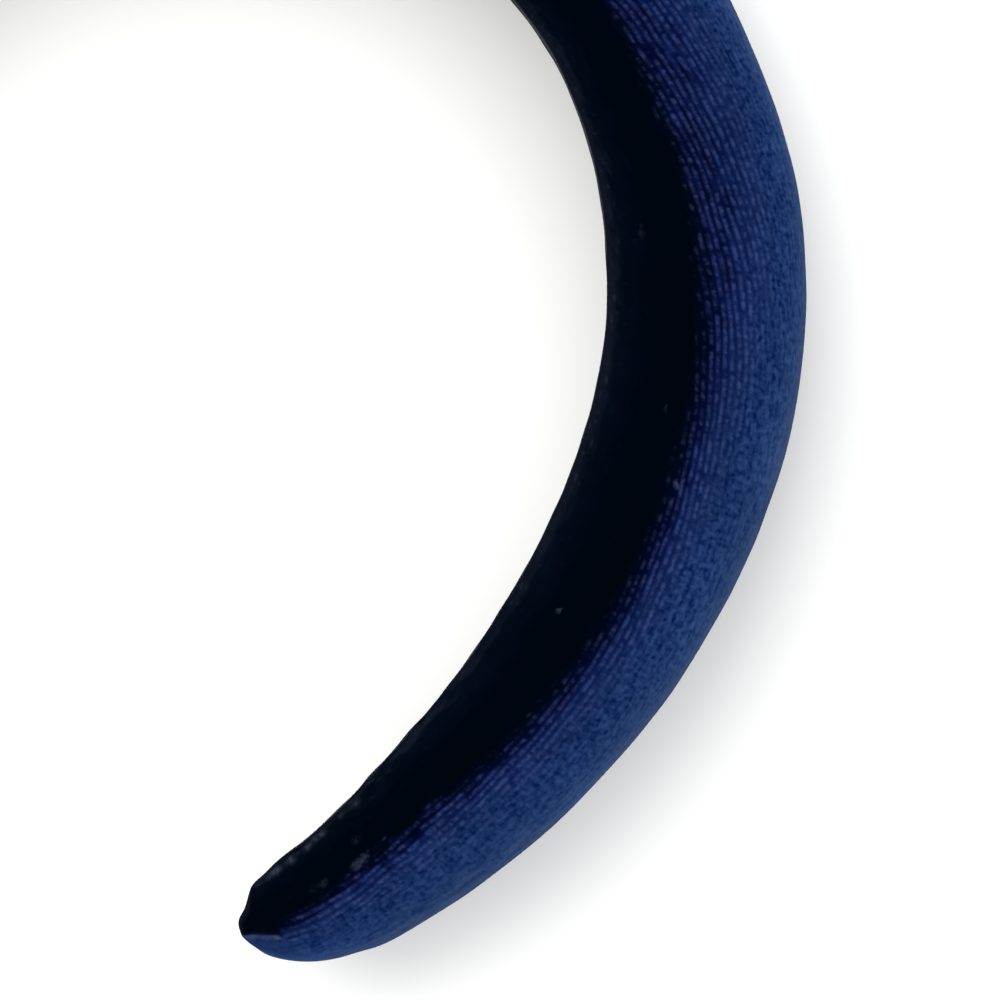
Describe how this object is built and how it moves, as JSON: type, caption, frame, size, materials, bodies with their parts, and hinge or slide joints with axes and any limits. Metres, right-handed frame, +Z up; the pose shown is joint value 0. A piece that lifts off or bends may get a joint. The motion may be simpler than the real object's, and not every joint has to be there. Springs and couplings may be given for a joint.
{
  "type": "padded headband",
  "caption": "Padded velvet headband, an open arch with a domed stuffed pad that tapers to blunt tips, faced on the head side, lying on its side.",
  "frame": {"origin": "on the surface it lies on, below the middle of the band's box", "axes": "+X across the band to its right side, +Y from the tips towards the crown, +Z up through the width of the band"},
  "size_m": [0.1652, 0.1676, 0.036],
  "materials": {
    "velvet_cover": "navy stretch velvet with a fine ribbed nap",
    "facing_ribbon": "dark navy woven ribbon with an overcast edge"
  },
  "bodies": {
    "root": {"padded_cover": "velvet_cover", "inner_facing": "facing_ribbon"}
  },
  "joints": []
}
